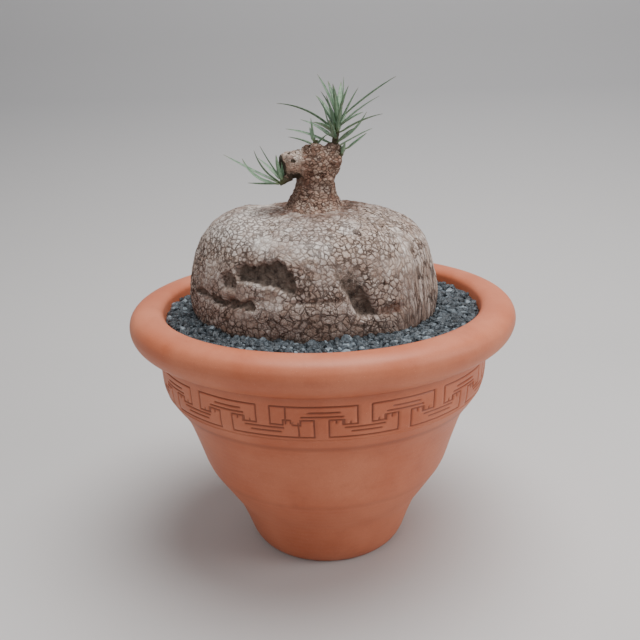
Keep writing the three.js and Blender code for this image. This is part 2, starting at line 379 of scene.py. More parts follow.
def grooveField(degrees, height, lines, v, radius):
    # for every grid point, how deep it lies in the nearest line's groove, from 0 to 1
    depth = np.zeros((len(height), len(degrees)))
    perDegree = math.radians(1) * radius
    for a, za, b, zb in lines:
        a, b = min(a, b), max(a, b)
        za, zb = min(za, zb), max(za, zb)
        off = (degrees[None, :] - (a + b) / 2 + 180) % 360 - 180
        dx = np.maximum(np.abs(off) - (b - a) / 2, 0) * perDegree
        dz = np.maximum(np.abs(height[:, None] - (za + zb) / 2) - (zb - za) / 2, 0)
        away = np.sqrt(dx ** 2 + dz ** 2)
        depth = np.maximum(depth, 1 - np.clip((away - v["grooveHalfWidth"]) / v["grooveSlope"], 0, 1))
    return depth


def gridLines(places, offsets, fillers, apart, low, high):
    # sorted grid lines at both edges of each groove, with fillers where there's room
    edges = np.unique((np.array(sorted(set(np.round(places, 3))))[:, None] + offsets).ravel())
    kept = [edges[0]]
    for edge in edges[1:]:
        if edge - kept[-1] > apart:
            kept.append(edge)
    kept = np.array(kept)
    spare = [f for f in fillers if np.abs(kept - f).min() > 2.5 * apart]
    lines = np.concatenate([kept, spare])
    return np.sort(lines[(lines >= low) & (lines < high)])


def makePot(v):
    # a profile turned about the pot's axis, with the key pattern pressed into its band
    lines, middle = keyPattern(v)
    radius = 141.5
    perDegree = math.radians(1) * radius
    reach = np.array([-1, -0.43, 0.43, 1]) * (v["grooveHalfWidth"] + v["grooveSlope"])
    upright = np.concatenate([lines[lines[:, 0] == lines[:, 2], 0]]) % 360
    degrees = gridLines(upright, reach / perDegree, np.arange(0, 360, 1.0), 0.09, 0, 360)
    flat = lines[lines[:, 1] == lines[:, 3], 1]
    bandRows = gridLines(flat, reach, np.arange(v["patternLow"] - 3, v["patternHigh"] + 3, 1.5), 0.16,
                         v["patternLow"] - 3, v["patternHigh"] + 3)
    footPart = curveThrough([[14, 0], [40, 0], [59.5, 0], [63.6, 1.0], [67.2, 5], [70, 10], [71.9, 15]], 16)
    wallPart = curveThrough([[71.9, 15], [77.3, 30], [83.3, 44.2]], 8)[1:]
    bowlPart = curveThrough([[83.3, 44.2], [86.4, 48.6], [94.2, 60.5], [104.6, 76.6]], 10)[1:]
    bodyPart = curveThrough([[104.6, 76.6], [105.6, 78.6], [108.9, 86], [113.4, 100.5], [118.1, 115],
                             [123.6, 130], [130.9, 141.9]], 16)[1:]
    lowBand = curveThrough([[130.9, 141.9], [132, 143], [134.3, 146.6], [137, 151], [138.4, 153.3]], 7)[1:]
    bandShape = curveThrough([[138.4, 153.3], [140.3, 160], [141.2, 168], [141.8, 178], [142.3, 184.7]], 60)
    bandPart = np.stack([np.interp(bandRows, bandShape[:, 1], bandShape[:, 0]), bandRows], axis=1)
    rimPart = curveThrough([
        [142.3, 184.7], [142.6, 187.2], [144.6, 190], [149, 192.1], [153.6, 194.2], [158.3, 197.6],
        [162.3, 202], [164.6, 207.2], [164.9, 212.4], [163.2, 217.6], [159.4, 221.6], [154, 223.7],
        [148.6, 224.2], [143, 223.9], [138.8, 222.5], [136.3, 219.8], [135.7, 216.4], [134.8, 212]], 44)[1:]
    insidePart = curveThrough([[134.8, 212], [133.4, 199], [131.8, 172], [128.4, 154], [119.6, 138],
                               [98, 80], [76, 47], [64.4, 18], [60.6, 12], [54, 10], [13.4, 10]], 24)[1:]
    holePart = curveThrough([[12.5, 9.4], [12.5, 5], [12.5, 1.6], [13.2, 0.4]], 5)
    profile = np.vstack([footPart, wallPart, bowlPart, bodyPart, lowBand, bandPart, rimPart, insidePart,
                         holePart])
    first = len(footPart) + len(wallPart) + len(bowlPart) + len(bodyPart) + len(lowBand)
    inBand = slice(first, first + len(bandRows))
    depth = np.zeros((len(profile), len(degrees)))
    depth[inBand] = grooveField(degrees, bandRows, lines, v, radius)
    angle = np.radians(degrees)[None, :]
    flatPoints = np.stack([profile[:, :1] * np.sin(angle), -profile[:, :1] * np.cos(angle),
                           np.broadcast_to(profile[:, 1:], depth.shape)], axis=-1)
    # hand-pressed: the lines wander a little, and the clay's face is never quite true
    along = noise(flatPoints, 22, 3) * v["wobble"] + noise(flatPoints, 7, 4) * v["wobble"] * 0.3
    lift = noise(flatPoints + 50, 25, 5) * v["wobble"] * 0.8 + noise(flatPoints, 8, 8) * 0.12
    inPattern = bump(profile[:, 1:], middle, 16) * (profile[:, :1] > 136)
    weather = fractal(flatPoints, 60, 2, 6) * 0.18 + noise(flatPoints, 9, 7) * 0.05
    away = weather * smooth(profile[:, 1:], 2, 12)
    faceDepth = v["grooveDepth"] * (0.8 + 0.2 * noise(flatPoints, 30, 11))
    r = profile[:, :1] + away - faceDepth * depth
    turn = angle + along * inPattern / radius
    points = np.stack([r * np.sin(turn), -r * np.cos(turn),
                       profile[:, 1:] + lift * inPattern], axis=-1)
    quads = gridFaces(len(profile), len(degrees), True)
    n = len(degrees)
    k = np.arange(n)
    closing = np.stack([(len(profile) - 1) * n + k, (len(profile) - 1) * n + (k + 1) % n,
                        (k + 1) % n, k], axis=-1)
    pot = meshFrom("terracottaPot", points.reshape(-1, 3), np.vstack([quads, closing]))
    setAttribute(pot, "groove", depth)
    # painted shade along the band's lower crease and the wall's crease, and a painted shadow just under the
    # rim
    creases = bump(profile[:, 1], 142.6, 1.6) + 0.6 * bump(profile[:, 1], 77.6, 1.2)
    under = bump(profile[:, 1], 188.5, 2.6) * (profile[:, 0] > 139)
    paintedShade = np.broadcast_to((creases * (profile[:, 0] > 100) + 0.7 * under)[:, None], depth.shape)
    setAttribute(pot, "paintedCreaseShade", paintedShade)
    return pot


def clayMaterial(v):
    # fired clay: cloudy colour, fine sandy grain, faint turning lines, painted shade in the grooves, along
    # the creases and under the rim
    material, nodes, links, shader = newMaterial("terracotta")
    clouds = textureAt(nodes, links, "ShaderNodeTexNoise", 14, inputs={"Detail": 5, "Roughness": 0.62})
    colour = mixColour(nodes, links, ramp(nodes, links, clouds.outputs[0], 0.36, 0.66),
                       rgba(v["clay"]), rgba(v["paleClay"]))
    blotch = textureAt(nodes, links, "ShaderNodeTexNoise", 41, inputs={"Detail": 8, "Roughness": 0.7})
    colour = mixColour(nodes, links, ramp(nodes, links, blotch.outputs[0], 0.55, 0.78, 0, 0.35), colour,
                       rgba(v["darkClay"]))
    grain = textureAt(nodes, links, "ShaderNodeTexNoise", 900, inputs={"Detail": 4, "Roughness": 0.7})
    colour = mixColour(nodes, links, ramp(nodes, links, grain.outputs[0], 0.3, 0.8, 0.0, 0.24), colour,
                       rgba(v["darkClay"]))
    specks = textureAt(nodes, links, "ShaderNodeTexVoronoi", 260)
    colour = mixColour(nodes, links, ramp(nodes, links, specks.outputs["Distance"], 0.1, 0.0, 0, 0.35),
                       colour, rgba((236, 190, 158)))
    # painted shade: the key-pattern grooves are darkened where they sink in
    groove = combine(nodes, links, "MULTIPLY", attribute(nodes, "groove"), 0.62)
    colour = mixColour(nodes, links, groove, colour, rgba(v["paintedShadeClay"]))
    # painted shade along the creases and painted shadow under the rim
    paintedCreaseShade = combine(nodes, links, "MULTIPLY", attribute(nodes, "paintedCreaseShade"), 0.4)
    colour = mixColour(nodes, links, paintedCreaseShade, colour, rgba(v["paintedShadeClay"]))
    links.new(colour, shader.inputs["Base Color"])
    links.new(ramp(nodes, links, clouds.outputs[0], 0.3, 0.7, v["roughness"] - 0.06, v["roughness"] + 0.1),
              shader.inputs["Roughness"])
    rings = textureAt(nodes, links, "ShaderNodeTexWave", 62, bands_direction="Z",
                      inputs={"Distortion": 1.6, "Detail": 2, "Detail Scale": 0.6})
    normal = bumpOn(nodes, links, rings.outputs["Fac"], 0.12, 0.0004)
    normal = bumpOn(nodes, links, grain.outputs[0], 0.3, 0.0003, normal)
    normal = bumpOn(nodes, links, blotch.outputs[0], 0.25, 0.0008, normal)
    links.new(normal, shader.inputs["Normal"])
    shader.inputs["Specular IOR Level"].default_value = 0.42
    return material


terracottaPot = makePot(potValues)
finishPiece(terracottaPot, "terracotta", clayMaterial(potValues), "pot")
print("pot made:", len(terracottaPot.data.polygons), "faces")


def wandering(nodes, links, amount, scale):
    # the piece's "place" attribute in millimetres, each point pushed a little way by a noise, so that a
    # pattern's lines don't run straight
    place = nodeOf(nodes, "ShaderNodeAttribute")
    place.attribute_name = "place"
    push = textureAt(nodes, links, "ShaderNodeTexNoise", scale, place.outputs["Vector"], {"Detail": 3})
    centred = nodeOf(nodes, "ShaderNodeVectorMath", operation="SUBTRACT")
    links.new(push.outputs["Color"], centred.inputs[0])
    centred.inputs[1].default_value = (0.5, 0.5, 0.5)
    scaled = nodeOf(nodes, "ShaderNodeVectorMath", operation="SCALE")
    links.new(centred.outputs[0], scaled.inputs[0])
    scaled.inputs["Scale"].default_value = amount
    total = nodeOf(nodes, "ShaderNodeVectorMath", operation="ADD")
    links.new(place.outputs["Vector"], total.inputs[0])
    links.new(scaled.outputs[0], total.inputs[1])
    return total.outputs[0]


def platesOf(nodes, links, where, size):
    # cells of about one size: the distance to a cell's border in millimetres, and each cell's own shade
    border = textureAt(nodes, links, "ShaderNodeTexVoronoi", 1 / size, where, feature="DISTANCE_TO_EDGE")
    cell = textureAt(nodes, links, "ShaderNodeTexVoronoi", 1 / size, where, feature="F1")
    shade = nodeOf(nodes, "ShaderNodeSeparateXYZ")
    links.new(cell.outputs["Color"], shade.inputs[0])
    return combine(nodes, links, "MULTIPLY", border.outputs["Distance"], size), shade.outputs["X"]


def barkMaterial(name, v):
    # flat pale plates between thin dark cracks of uneven strength, with finer cracks inside them. The
    # masks say where the plates are coarse, calm (hardly cracked), white (partly a painted highlight), brown
    # or hollow (partly painted shade).
    material, nodes, links, shader = newMaterial(name)
    fine = textureAt(nodes, links, "ShaderNodeTexNoise", 700, inputs={"Detail": 6, "Roughness": 0.75})
    mottle = textureAt(nodes, links, "ShaderNodeTexNoise", 170, inputs={"Detail": 6, "Roughness": 0.68})
    broad = textureAt(nodes, links, "ShaderNodeTexNoise", 48, inputs={"Detail": 5, "Roughness": 0.62})
    ragged = textureAt(nodes, links, "ShaderNodeTexNoise", 380, inputs={"Detail": 5, "Roughness": 0.72})
    where = wandering(nodes, links, v["wander"], v["wanderScale"])
    edge, tone = platesOf(nodes, links, where, v["plateSize"])
    coarse = attribute(nodes, "coarse")
    coarseEdge, coarseTone = platesOf(nodes, links, where, v["coarseSize"])
    faint = combine(nodes, links, "ADD", edge, ramp(nodes, links, mottle.outputs[0], 0.35, 0.6, 0.1, 0.5))
    both = combine(nodes, links, "MINIMUM", coarseEdge, faint)
    edge = mixColour(nodes, links, coarse, edge, both)
    tone = mixColour(nodes, links, coarse, tone, coarseTone)
    smallEdge, smallTone = platesOf(nodes, links, where, v["plateSize"] * 0.42)
    colour = mixColour(nodes, links, ramp(nodes, links, tone, 0.1, 0.85), rgba(v["plate"]),
                       rgba(v["palePlate"]))
    colour = mixColour(nodes, links, ramp(nodes, links, smallTone, 0.5, 1.0, 0, 0.4), colour,
                       rgba(v["tanPlate"]))
    colour = mixColour(nodes, links, ramp(nodes, links, broad.outputs[0], 0.44, 0.68, 0, 0.55), colour,
                       rgba(v["tanPlate"]))
    white = combine(nodes, links, "MULTIPLY", attribute(nodes, "white"),
                    ramp(nodes, links, mottle.outputs[0], 0.36, 0.62, 1.0, 0.45))
    colour = mixColour(nodes, links, white, colour, rgba(v["white"]))
    colour = mixColour(nodes, links, ramp(nodes, links, mottle.outputs[0], 0.52, 0.72, 0, 0.5), colour,
                       rgba(v["speck"]))
    colour = mixColour(nodes, links, ramp(nodes, links, fine.outputs[0], 0.5, 0.7, 0, 0.45), colour,
                       rgba(v["speck"]))
    colour = mixColour(nodes, links, ramp(nodes, links, fine.outputs[0], 0.44, 0.3, 0, 0.5), colour,
                       rgba(v["white"]))
    brown = combine(nodes, links, "MULTIPLY", attribute(nodes, "brown"),
                    ramp(nodes, links, ragged.outputs[0], 0.32, 0.6, 0.4, 1.0))
    colour = mixColour(nodes, links, brown, colour, rgba(v["brown"]))
    calm = combine(nodes, links, "SUBTRACT", 1.0, attribute(nodes, "calm"))
    patches = ramp(nodes, links, broad.outputs[0], 0.38, 0.58, v["smallShare"], 0.25)
    smallLine = combine(nodes, links, "MULTIPLY", ramp(nodes, links, smallEdge, 0.28, 0.05), patches)
    smallLine = combine(nodes, links, "MULTIPLY", smallLine, calm)
    colour = mixColour(nodes, links, smallLine, colour, rgba(v["crackEdge"]))
    width = ramp(nodes, links, ragged.outputs[0], 0.28, 0.72, -0.22, 0.26)
    edge = combine(nodes, links, "ADD", edge, width)
    strength = ramp(nodes, links, mottle.outputs[0], 0.28, 0.56, 1.0, 0.5)
    strength = combine(nodes, links, "MULTIPLY", strength, calm)
    shade = ramp(nodes, links, edge, v["crackWidth"] * 2.2, v["crackWidth"] * 0.8, 0, 0.75)
    deep = ramp(nodes, links, edge, v["crackWidth"] * 1.2, v["crackWidth"] * 0.6)
    colour = mixColour(nodes, links, combine(nodes, links, "MULTIPLY", shade, strength), colour,
                       rgba(v["crackEdge"]))
    colour = mixColour(nodes, links, combine(nodes, links, "MULTIPLY", deep, strength), colour,
                       rgba(v["crack"]))
    # the hollows' colour: partly the bare inner bark, partly painted shade in the recess
    hollow = mixColour(nodes, links, ramp(nodes, links, mottle.outputs[0], 0.35, 0.65), rgba(v["hollow"]),
                       rgba(v["hollowPale"]))
    torn = combine(nodes, links, "ADD", attribute(nodes, "hollow"),
                   ramp(nodes, links, ragged.outputs[0], 0.3, 0.7, -0.24, 0.24))
    colour = mixColour(nodes, links, ramp(nodes, links, torn, 0.28, 0.62), colour, hollow)
    links.new(colour, shader.inputs["Base Color"])
    shader.inputs["Roughness"].default_value = 0.88
    shader.inputs["Specular IOR Level"].default_value = 0.22
    normal = bumpOn(nodes, links, ramp(nodes, links, edge, 0.0, v["crackWidth"] * 2.2), 0.8, 0.0006)
    normal = bumpOn(nodes, links, tone, 0.5, 0.0005, normal)
    normal = bumpOn(nodes, links, mottle.outputs[0], 0.45, 0.0012, normal)
    normal = bumpOn(nodes, links, fine.outputs[0], 0.6, 0.0007, normal)
    normal = bumpOn(nodes, links, smallLine, -0.4, 0.0006, normal)
    links.new(normal, shader.inputs["Normal"])
    return material


caudexValues = {
    "columns": 640, "sideRows": 129, "crownRows": 13, "buriedRows": 12,
    "centre": (-4.6, 2.0), "depthShare": 0.92,
    "plateSize": 4.4, "coarseSize": 8.0, "wander": 2.6, "wanderScale": 0.5,
    "lumps": 1.3,
    "plate": (190, 172, 159), "palePlate": (224, 213, 204), "tanPlate": (166, 140, 123),
    "speck": (120, 96, 82), "white": (230, 225, 219), "brown": (104, 69, 54),
    "crackEdge": (104, 80, 67), "crack": (42, 30, 25), "crackWidth": 0.48,
    # the hollow colours are partly the bare inner bark's own darker colour and partly painted shade
    "hollow": (56, 46, 41), "hollowPale": (126, 111, 100), "smallShare": 0.9,
}


def caudexBase(v):
    # A meridian curve swept round, narrower front to back than side to side, with broad lobes and a raised
    # left shoulder. Columns are closer together on the front.
    buried = curveThrough([[0.5, 120], [13, 138], [58, 167], [95, 192], [102.6, 206]], v["buriedRows"])
    side = curveThrough([[102.6, 206], [103.6, 216], [104.4, 230], [103.8, 245], [102.4, 257], [99, 268.5],
                         [93.4, 278.5], [85, 286.8], [73, 293.4], [58, 298], [40, 301.8]], v["sideRows"])
    crown = curveThrough([[40, 301.8], [20, 303.8], [0.5, 304.4]], v["crownRows"])
    profile = np.vstack([buried[:-1], side[:-1], crown])
    even = np.linspace(-math.pi, math.pi, v["columns"], endpoint=False)
    azimuth = even - 0.28 * np.sin(even)
    r, z = profile[:, :1], profile[:, 1:]
    a = np.broadcast_to(azimuth[None, :], (len(profile), len(azimuth)))
    upper = smooth(z, 200, 230)
    lobes = 0.012 * np.cos(3 * (a - 0.4)) + 0.009 * np.cos(5 * a + 1.2) + 0.004 * np.cos(9 * a + 0.7)
    scale = 1 + upper * lobes
    x = r * scale * np.sin(a)
    y = -r * scale * np.cos(a) * v["depthShare"]
    shoulder = (6.0 * smooth(-x, 38, 68) - smooth(x, 30, 70)) * smooth(z, 270, 294)
    points = np.stack([x + v["centre"][0], y + v["centre"][1], z + shoulder], axis=-1)
    return points, np.degrees(a), np.broadcast_to(z, a.shape)


def caveAt(a, z, outline, p, seed, jag=1.1, lip=1.5, fade=6.0):
    # a cave in the bark, under a ragged overhanging edge: the outline gives the roof's and the floor's
    # height at some angles, and the floor rises slowly to the face below
    angles, roofs, floors = np.array(outline, float).T
    ragged = jag * noise(p, 4, seed) + jag * noise(p, 9, seed + 1)
    roof = np.interp(a, angles, roofs) + ragged
    floor = np.interp(a, angles, floors) + 0.8 * ragged
    ends = smooth(a, angles[0], angles[0] + 3) * (1 - smooth(a, angles[-1] - 3, angles[-1]))
    return smooth(roof - z, 0, lip) * smooth(z, floor - fade * 0.4, floor + fade * 0.6) * ends


def makeCaudex(v):
    base, a, z = caudexBase(v)
    normal = gridNormals(base, True)
    p = base
    # lumps, then the fuller tier round the foot of the front, with the fold above it
    d = v["lumps"] * fractal(p, 38, 2, 21) + 0.6 * fractal(p, 12, 2, 22)
    tierLine = 247 + 1.8 * noise(p, 14, 23) - 9 * smooth(-a, 26, 44)
    tierSide = smooth(a, -70, -50) * (1 - smooth(a, 14, 21))
    d = d + 1.2 * tierSide * smooth(tierLine - z, 0, 9) * smooth(z, 205, 222)
    fold = tierSide * bump(z, tierLine, 1.5) * smooth(noise(p, 7, 24), -0.6, 0.1)
    d = d - 2.4 * fold - 1.2 * tierSide * bump(z, tierLine + 6, 5)
    # long upright ridges down the right side, and weaker ones on the back
    ridges = noise(np.stack([a * 1.75, z * 0.1, a * 0], axis=-1) + 0.8 * noise(p, 9, 33)[..., None], 6.5, 31)
    side = smooth(a, 32, 50) * (1 - 0.45 * smooth(a, 110, 140)) + 0.35 * smooth(-a, 95, 120)
    flank = side * smooth(z, 216, 232) * (1 - smooth(z, 286, 299))
    d = d + 1.9 * flank * ridges
    # caves, a gully that deepens as it runs down to the right, a broken trench and a sunken scar
    caves = [
        caveAt(a, z, [[-40, 266, 261], [-36, 274, 259.5], [-31, 275, 259], [-27, 268, 259],
                      [-24, 272, 260]], p, 41, jag=1.6),
        caveAt(a, z, [[-31, 269, 263], [-26, 275, 258], [-18, 279.5, 256], [-14, 276, 254],
                      [-10, 268, 252], [-7, 257, 252]], p, 43, jag=1.8),
        0.7 * caveAt(a, z, [[-50, 259, 252], [-46, 266, 251], [-42, 266, 250], [-37, 257, 250]], p, 45),
    ]
    cave = np.maximum.reduce(caves)
    down = smooth(272 - z, 0, 36)
    gully = bump(a, 12.5 + (270 - z) * 0.27, 6.4 - 1.6 * down + 0.9 * noise(p, 8, 47))
    gully = smooth(gully, 0.2, 0.7) * smooth(z, 229, 236) * (1 - smooth(z, 268, 275))
    band = bump(z, 241.5 - 0.08 * (a + 50) + 1.5 * noise(p, 20, 48), 4.6) * smooth(a, -80, -68)
    band = band * (1 - smooth(a, -30, -23))
    trench = smooth(band + 0.55 * fractal(p, 8, 3, 49) - 0.5, 0, 0.3)
    scar = smooth(1 - (((a - 34) / 7.4) ** 2 + ((z - 235) / 4.6) ** 2), -0.1, 0.5)
    scarShelf = bump(a, 34, 8) * bump(z, 242, 2.4)
    wrinkles = bump(a, 29, 6) * bump(z, 249, 8)
    d = d - 6.5 * cave - (1.4 + 5.0 * down) * gully - 2.6 * trench - 1.6 * scar + 1.3 * scarShelf
    d = d + 0.5 * wrinkles * np.sin(z * 2.1 + 2 * noise(p, 6, 50))
    # how dark the caves, gully, trench, scar and fold are painted: partly the bare inner bark, partly painted
    # shade, more of it where the gully runs deeper
    hollow = np.maximum.reduce([0.9 * cave, gully * (0.45 + 0.5 * down), 0.8 * trench, 0.22 * scar,
                                0.4 * fold])
    # where the plates lie: drawn out upright on the right side, coarse on the low tier
    warp = np.stack([fractal(p, 5.5, 2, 61), fractal(p, 5.5, 2, 62), fractal(p, 5.5, 2, 63)], axis=-1)
    onFlank = smooth(a, 30, 52) * (1 - smooth(a, 130, 165))
    tall = 1 - 0.8 * onFlank - 0.25 * smooth(-a, 70, 110)
    place = np.stack([p[..., 0], p[..., 1], (p[..., 2] - 255) * tall], axis=-1) + 0.8 * warp
    coarse = np.clip(tierSide * smooth(tierLine - z, -1, 3) * smooth(a, -36, -22)
                     + smooth(fractal(p, 30, 2, 75), 0.35, 0.7), 0, 1)
    crown = np.hypot(p[..., 0] + 3, p[..., 1] - 2)
    # paler patches: partly the bark's own whitish patches, partly a painted highlight on the top front and
    # the upper left shoulder where the light falls
    white = np.clip(
        bump(a, -1, 11) * bump(z, 291, 9) + 0.9 * bump(a, -62, 26) * smooth(z, 274, 288)
        + 0.55 * bump(a, -30, 14) * smooth(z, 274, 284) * (1 - smooth(z, 294, 300))
        + 0.6 * smooth(fractal(p, 20, 3, 77), 0.25, 0.75) * smooth(z, 236, 262), 0, 0.85)
    nearStem = smooth(56 - crown, 0, 22)
    brown = np.clip(
        0.9 * nearStem * smooth(fractal(p, 9, 2, 79), -0.7, 0.1)
        + 0.85 * scar
        + 0.7 * bump(a, 12, 12) * smooth(222 - z, 0, 5) + 0.6 * bump(a, 48, 16) * smooth(236 - z, 0, 12)
        + 0.55 * bump(a, -2, 12) * bump(z, 270, 6)
        + 0.8 * bump(a, -50, 22) * bump(z, 243, 8) * smooth(fractal(p, 10, 3, 81), -0.4, 0.3)
        + 0.3 * bump(a, -48, 20) * smooth(238 - z, 0, 10)
        + 0.6 * bump(a, -2, 11) * bump(z, 246, 5) * smooth(noise(p, 6, 82), -0.3, 0.5)
        + 0.2 * smooth(224 - z, 0, 8) + 0.42 * smooth(fractal(p, 17, 3, 83), 0.0, 0.6), 0, 1)
    calm = np.clip(0.2 * white + 0.95 * np.maximum(cave, gully) + 0.6 * scar
                   + 0.5 * smooth(fractal(p, 22, 2, 85), 0.2, 0.7), 0, 0.95)
    above = smooth(z, 208, 213)
    nearPole = smooth(crown, 6, 16)
    blocks = 0.45 * fractal(place, 4.2, 3, 87) * (1 - 0.6 * calm)
    # scaly folds ringed round the stem's foot
    folds = 1.2 * nearStem * noise(np.stack([crown, a * 0.12, z * 0], axis=-1) + 1.5 * warp, 4.5, 91)
    d = (d + blocks * (1 - 0.8 * np.clip(cave + gully, 0, 1)) + folds) * nearPole * above
    points = base + normal * d[..., None]
    caudex = meshFrom("caudexBark", points.reshape(-1, 3), *closedPoles(len(points), v["columns"]))
    for name, values in (("place", place), ("coarse", coarse), ("white", white), ("brown", brown),
                         ("calm", calm), ("hollow", np.clip(hollow, 0, 1))):
        setAttribute(caudex, name, values)
    return caudex, points


def closedPoles(rows, columns):
    # quads along the grid, and its first and last rows closed by a fan from their first corner
    quads = gridFaces(rows, columns, True)
    k = np.arange(1, columns - 1)
    low = np.stack([np.zeros_like(k), k + 1, k], axis=-1)
    last = (rows - 1) * columns
    high = np.stack([np.full_like(k, last), last + k, last + k + 1], axis=-1)
    return quads, np.vstack([low, high])


caudexBark, caudexPoints = makeCaudex(caudexValues)
finishPiece(caudexBark, "bark", barkMaterial("crackedBark", caudexValues), "caudex")
print("caudex made:", len(caudexBark.data.polygons), "faces")


stemValues = {
    "voxel": 0.75, "plateSize": 3.0, "coarseSize": 5.0, "wander": 1.8, "wanderScale": 0.6,
    "plate": (172, 140, 120), "palePlate": (214, 194, 176), "tanPlate": (146, 104, 84),
    "speck": (124, 90, 74), "white": (216, 206, 194), "brown": (112, 72, 57),
    "crackEdge": (108, 74, 60), "crack": (50, 34, 29), "crackWidth": 0.3,
    # the hollow colours serve the cut end and the pits, and as painted shade on the branch's underside
    "hollow": (50, 42, 36), "hollowPale": (84, 72, 60), "smallShare": 0.7,
}


def tube(path, radii, sides, squeeze=1.0):
    # rings of points square to a path, each with its own radius, closed at both ends
    path, radii = np.array(path, float), np.array(radii, float)
    along = np.gradient(path, axis=0)
    along /= np.linalg.norm(along, axis=1, keepdims=True)
    guide = np.array([0.0, 1.0, 0.15])
    across = guide - along * (along @ guide)[:, None]
    across /= np.linalg.norm(across, axis=1, keepdims=True)
    other = np.cross(along, across)
    t = np.linspace(0, 2 * math.pi, sides, endpoint=False)
    ring = (np.cos(t)[None, :, None] * across[:, None, :]
            + squeeze * np.sin(t)[None, :, None] * other[:, None, :])
    return path[:, None, :] + radii[:, None, None] * ring


def remeshed(parts, voxel):
    # overlapping closed shapes joined into one even skin
    points = np.vstack([p.reshape(-1, 3) for p in parts])
    quads, triangles, start = [], [], 0
    for p in parts:
        q, t = closedPoles(p.shape[0], p.shape[1])
        quads.append(q + start)
        triangles.append(t + start)
        start += p.shape[0] * p.shape[1]
    rough = meshFrom("rough", points, np.vstack(quads), np.vstack(triangles))
    modifier = rough.modifiers.new("join", "REMESH")
    modifier.mode, modifier.voxel_size, modifier.use_smooth_shade = "VOXEL", voxel * mm, True
    joined = bpy.data.meshes.new_from_object(rough.evaluated_get(bpy.context.evaluated_depsgraph_get()))
    bpy.data.objects.remove(rough)
    return joined


def makeStem(v):
    # a neck that flares onto the caudex, the stub of a cut branch on its left, and knots
    height = np.linspace(0, 1, 40)
    neckPath = curveThrough([[-3, 2, 294], [-3, 2, 306], [-2.5, 2, 318], [-1.5, 1.5, 331], [1.5, 1, 343],
                             [3.5, 1, 352.6]], 40)
    neckRadii = np.interp(height, [0, 0.13, 0.2, 0.28, 0.38, 0.5, 0.65, 0.8, 0.9, 0.96, 1],
                          [34, 30, 24.5, 21.2, 19, 17.8, 17.6, 17.8, 16.4, 12.5, 5])
    branchPath = curveThrough([[-1, 2, 338], [-10, -1, 339], [-19, -5, 339], [-26, -8, 338.2],
                               [-29, -9.3, 337.6]], 26)
    branchRadii = np.interp(np.linspace(0, 1, 26), [0, 0.4, 0.8, 0.93, 1], [12, 11.8, 11.6, 10.8, 7.5])
    knots = [([-19, -8, 346], 5.5), ([-24, -8, 331], 5.2), ([13, -8, 341], 6.5), ([-10, -11, 333], 6),
             ([8, -13, 327], 5.5), ([-4, 12, 344], 6.5), ([13, 8, 333], 6), ([0, -6, 349], 6.5),
             ([12, 0, 348], 7.5)]
    parts = [tube(neckPath, neckRadii, 48, 0.93), tube(branchPath, branchRadii, 36)]
    for place, radius in knots:
        ball = np.linspace(-1, 1, 9)
        path = np.array(place) + np.array([0.2, 0.1, 1.0]) * radius * ball[:, None] * 0.98
        parts.append(tube(path, radius * np.sqrt(1.02 - ball ** 2), 14))
    mesh = remeshed(parts, v["voxel"])
    count = len(mesh.vertices)
    p, normal = np.empty(count * 3, np.float32), np.empty(count * 3, np.float32)
    mesh.vertices.foreach_get("co", p)
    mesh.vertices.foreach_get("normal", normal)
    p, normal = p.reshape(-1, 3).astype(float) / mm, normal.reshape(-1, 3).astype(float)
    warp = np.stack([noise(p, 4, 101), noise(p, 4, 102), noise(p, 4, 103)], axis=-1) * 0.9
    place = (p + warp) * np.array([0.8, 0.8, 1.25])
    onBranch = smooth(-p[:, 0], 9, 15) * smooth(p[:, 2], 322, 327)
    cutFace = smooth(-normal[:, 0], 0.68, 0.88) * smooth(-p[:, 0], 25, 28)
    # painted shade: the branch's downward-facing underside
    under = smooth(-normal[:, 2], 0.1, 0.7) * onBranch
    pits = smooth(noise(p, 3.4, 107), 0.3, 0.6) * onBranch * smooth(normal[:, 2], -0.2, 0.3)
    flare = smooth(316 - p[:, 2], 0, 12)
    rings = noise(np.stack([p[:, 2] * 1.0, p[:, 0] * 0.12, p[:, 1] * 0.12], axis=-1), 3.6, 109)
    d = (1.5 * fractal(p, 10, 2, 111) + 0.7 * noise(p, 3.4, 113) + 0.8 * rings * (1 - onBranch)
         + 0.5 * fractal(place, 3, 2, 105) * (1 - 0.4 * onBranch) - 1.3 * pits)
    cut = smooth(-p[:, 0], 26, 28.5)
    p = p + normal * (d * (1 - 0.7 * cut))[:, None]
    mesh.vertices.foreach_set("co", (p * mm).astype(np.float32).ravel())
    mesh.update()
    stem = bpy.data.objects.new("stemBark", mesh)
    bpy.context.scene.collection.objects.link(stem)
    # the branch's upward-facing top is paler: partly its own pale bark, partly a painted highlight
    white = np.clip(0.7 * onBranch * smooth(normal[:, 2], -0.1, 0.6) * (1 - cutFace)
                    + 0.5 * smooth(fractal(p, 8, 2, 115), 0.2, 0.7) + 0.2 * flare, 0, 1)
    brown = np.clip(0.55 * smooth(fractal(p, 10, 2, 117), -0.2, 0.6) * (1 - onBranch)
                    + 0.5 * bump(p[:, 2], 322, 7) * smooth(-p[:, 0], -6, 10) + 0.4 * smooth(p[:, 2], 346, 352)
                    * (1 - onBranch), 0, 1)
    setAttribute(stem, "place", place)
    setAttribute(stem, "coarse", 0.6 * onBranch)
    setAttribute(stem, "white", white)
    setAttribute(stem, "brown", brown)
    setAttribute(stem, "calm", np.clip(0.2 * onBranch + 0.3 * cutFace, 0, 1))
    # the underside's share here is painted shade
    setAttribute(stem, "hollow", np.clip(0.85 * cutFace + pits + 0.75 * under, 0, 1))
    return stem


stemBark = makeStem(stemValues)
finishPiece(stemBark, "stem_bark", barkMaterial("scalyBark", stemValues), "stem")
print("stem made:", len(stemBark.data.polygons), "faces")


shootValues = {
    "bark": (84, 70, 48), "green": (92, 98, 58), "dark": (48, 36, 28), "roughness": 0.7,
}

